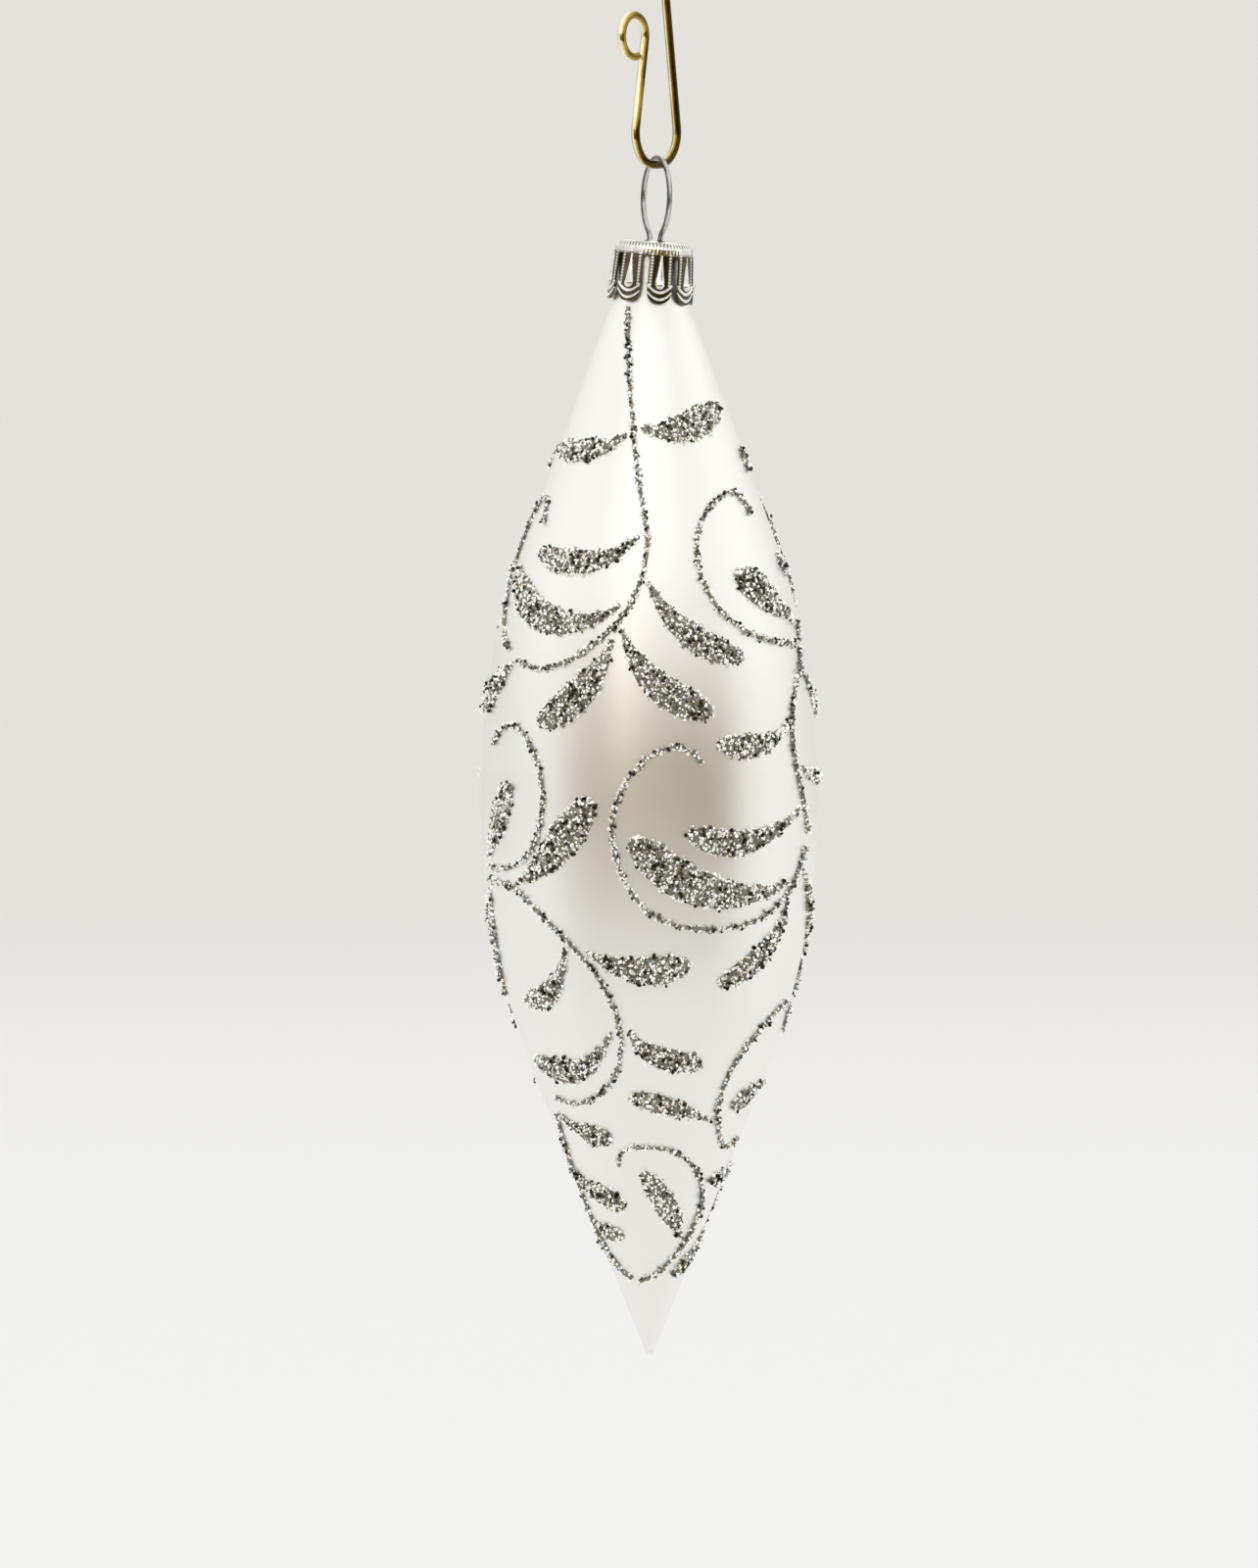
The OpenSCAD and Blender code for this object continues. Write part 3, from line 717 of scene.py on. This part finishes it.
# a stroke with little volume for its skin is a stem, and the others are leaves
# the pad under the grains is the stroke without its side on the glass, drawn in to make room for them
stem_thickness = 0.149 * mm
stem_draw_in, leaf_draw_in = 0.24 * mm, 0.13 * mm
stem_grain, leaf_grain = 0.95, 1.05
faces_glass = -0.2
for vine in ("upper", "side", "middle", "left", "lower"):
    for face in ("front", "back"):
        take_up(frame["nodes"][f"{vine}_vine_{face}"])
        bpy.ops.object.duplicate()
        pad = bpy.context.object
        pad.name = f"{vine}_glitter_{face}"
        pad.data.name = pad.name
        bpy.ops.object.mode_set(mode="EDIT")
        bpy.ops.mesh.select_all(action="SELECT")
        bpy.ops.mesh.remove_doubles(threshold=0.001 * mm)
        bpy.ops.mesh.separate(type="LOOSE")
        bpy.ops.object.mode_set(mode="OBJECT")
        strokes = sorted(bpy.context.selected_objects, key=lambda stroke: stroke.name)
        for stroke in strokes:
            take_up(stroke)
            sides = stroke.data.polygons
            area = sum(side.area for side in sides)
            volume = sum(side.center.dot(side.normal) * side.area for side in sides) / 3
            is_stem = volume / area < stem_thickness
            size, draw_in = (stem_grain, stem_draw_in) if is_stem else (leaf_grain, leaf_draw_in)
            sieve = stroke.data.attributes.new("grain_size", "FLOAT", "POINT")
            sieve.data.foreach_set("value", [size] * len(stroke.data.vertices))
            bpy.ops.object.mode_set(mode="EDIT")
            bpy.ops.mesh.select_all(action="DESELECT")
            bpy.ops.object.mode_set(mode="OBJECT")
            for side in stroke.data.polygons:
                out = side.center - middle
                out.z = 0
                side.select = side.normal.dot(out.normalized()) < faces_glass
            bpy.ops.object.mode_set(mode="EDIT")
            bpy.ops.mesh.select_mode(type="FACE")
            bpy.ops.mesh.delete(type="FACE")
            bpy.ops.mesh.select_mode(type="VERT")
            bpy.ops.mesh.select_all(action="SELECT")
            bpy.ops.transform.shrink_fatten(value=-draw_in)
            bpy.ops.object.mode_set(mode="OBJECT")
        take_up(pad, *strokes)
        bpy.ops.object.join()
        pad.data.materials.clear()
        pad.data.materials.append(glue)
        sprinkle = pad.modifiers.new("strew", "NODES")
        sprinkle.node_group = strew
        bpy.ops.object.modifier_apply(modifier="strew")
        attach(pad, "glass")
        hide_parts(f"{vine}_vine_{face}")
for grain in list(grains.objects):
    bpy.data.objects.remove(grain)


# Stage: a round sweep of pale board, its floor lighter than its wall, with the ornament hanging free over it.
# Where it is seen or mirrored, the board gives part of its colour back as light of its own.
floor_z = -455 * mm
floor_r, corner_r, wall_h = 3.3, 0.5, 1.0
floor_fade = 0.07
own_light = 0.7
floor_white, wall_grey = (0.9, 0.9, 0.89), (0.8, 0.785, 0.755)
outline = [(0, 0), (floor_r / 2, 0), (floor_r, 0)]
outline += [(floor_r + corner_r * sin, corner_r - corner_r * cos) for cos, sin in round_run(6, 90, 6)]
outline.append((floor_r + corner_r, wall_h))
sweep = lathe("sweep", Vector((0, 0, floor_z)), outline, steps=96, weld=0.01 * mm)
bpy.ops.object.shade_smooth()

board = new_finish("pale_board")
nodes, links = board.node_tree.nodes, board.node_tree.links
shader = nodes["Principled BSDF"]
place_in = nodes.new("ShaderNodeTexCoord")
height = nodes.new("ShaderNodeSeparateXYZ")
links.new(place_in.outputs["Object"], height.inputs["Vector"])
rise = spread(board, height.outputs["Z"], floor_z, floor_z + floor_fade)
board_tones = tones(board, rise, (0, floor_white), (1, wall_grey))
lay_on(board, colour=board_tones, roughness=0.9)
seen = nodes.new("ShaderNodeLightPath")
mirrored = nodes.new("ShaderNodeMath")
mirrored.operation = "MAXIMUM"
through = nodes.new("ShaderNodeMath")
through.operation = "MAXIMUM"
share = nodes.new("ShaderNodeMath")
share.operation = "MULTIPLY"
share.inputs[1].default_value = own_light
glow = nodes.new("ShaderNodeEmission")
mixed = nodes.new("ShaderNodeMixShader")
links.new(seen.outputs["Is Camera Ray"], mirrored.inputs[0])
links.new(seen.outputs["Is Glossy Ray"], mirrored.inputs[1])
links.new(mirrored.outputs[0], through.inputs[0])
links.new(seen.outputs["Is Transmission Ray"], through.inputs[1])
links.new(through.outputs[0], share.inputs[0])
links.new(board_tones, glow.inputs["Color"])
links.new(share.outputs[0], mixed.inputs["Fac"])
links.new(shader.outputs["BSDF"], mixed.inputs[1])
links.new(glow.outputs["Emission"], mixed.inputs[2])
links.new(mixed.outputs["Shader"], nodes["Material Output"].inputs["Surface"])
sweep.data.materials.append(board)


# Screen: a strip of brown cloth, hung in an arc in front of the ornament and hidden from the camera.
# The satin glass mirrors it as the soft dark patch on its front.
screen_r = 1.15
screen_from, screen_to = math.radians(-58), math.radians(60)
screen_low, screen_high = middle.z - 0.42, middle.z + 0.26
cloth_brown = (0.22, 0.135, 0.001, 1)
screen_start = (middle.x + screen_r * math.sin(screen_from),
                middle.y - screen_r * math.cos(screen_from), screen_low)
bpy.ops.object.select_all(action="DESELECT")
bpy.ops.mesh.primitive_plane_add(size=mm, location=screen_start)
screen = bpy.context.object
screen.name = "dark_screen"
bpy.ops.object.transform_apply(location=True, rotation=True, scale=True)
bpy.ops.object.mode_set(mode="EDIT")
bpy.ops.mesh.select_all(action="SELECT")
bpy.ops.mesh.merge(type="CENTER")
bpy.ops.mesh.extrude_region_move(TRANSFORM_OT_translate={"value": (0, 0, screen_high - screen_low)})
bpy.ops.mesh.select_all(action="SELECT")
bpy.ops.mesh.spin(steps=24, angle=screen_from - screen_to, center=middle, axis=(0, 0, 1))
bpy.ops.object.mode_set(mode="OBJECT")
cloth = new_finish("dark_screen")
lay_on(cloth, colour=cloth_brown, roughness=0.9)
screen.data.materials.append(cloth)
screen.visible_camera = False


# Lights: soft boxes above and at both sides, a narrow warm one at the left like a window, and a white room.
# The soft boxes all point at the upper part of the glass, and the camera sees none of them.
aim = middle + Vector((0, 0, 20 * mm))
white, window_warm, room_white = (1, 1, 1), (1, 0.92, 0.72), (1, 0.99, 0.97, 1)
for name, at, size, power, colour in (
        ("top_light", (-0.05, -0.85, 0.72), (1.3, 0.9), 0.8, white),
        ("left_light", (-1.0, -0.3, 0.0), (1.1, 1.2), 0.3, white),
        ("right_light", (1.0, -0.05, 0.0), (1.1, 1.2), 0.5, white),
        ("window_light", (-0.32, -1.0, 0.12), (0.12, 0.4), 0.3, window_warm)):
    bpy.ops.object.select_all(action="DESELECT")
    bpy.ops.object.light_add(type="AREA", location=at)
    lamp = bpy.context.object
    lamp.name = name
    lamp.data.shape = "RECTANGLE"
    lamp.data.size, lamp.data.size_y = size
    lamp.data.energy = power
    lamp.data.color = colour
    lamp.visible_camera = False
    lamp.rotation_euler = (aim - Vector(at)).to_track_quat("-Z", "Y").to_euler()

room = bpy.data.worlds.new("room")
bpy.context.scene.world = room
room.use_nodes = True
room.node_tree.nodes["Background"].inputs["Color"].default_value = room_white
room.node_tree.nodes["Background"].inputs["Strength"].default_value = 1


# Camera: aimed at the widest part of the glass from slightly above it, through a long lens.
# Its picture is as tall as the photograph, at the scale that was measured there.
photo_rows, rows_per_mm = 1600, 7.694
picture_h = photo_rows / rows_per_mm * mm
film_h = 24
reach = 2200 * mm
tilt = math.radians(3)
aside, above = -2.73 * mm, 0.95 * mm
target = middle + Vector((aside, 0, above))
bpy.ops.object.select_all(action="DESELECT")
bpy.ops.object.camera_add(location=target + reach * Vector((0, -math.cos(tilt), math.sin(tilt))),
                          rotation=(math.pi / 2 - tilt, 0, 0))
camera = bpy.context.object
camera.data.sensor_fit = "VERTICAL"
camera.data.sensor_height = film_h
camera.data.lens = film_h * reach / picture_h
camera.data.clip_start = 0.01
camera.data.clip_end = 30
bpy.context.scene.camera = camera
bpy.context.scene.view_settings.view_transform = "Standard"
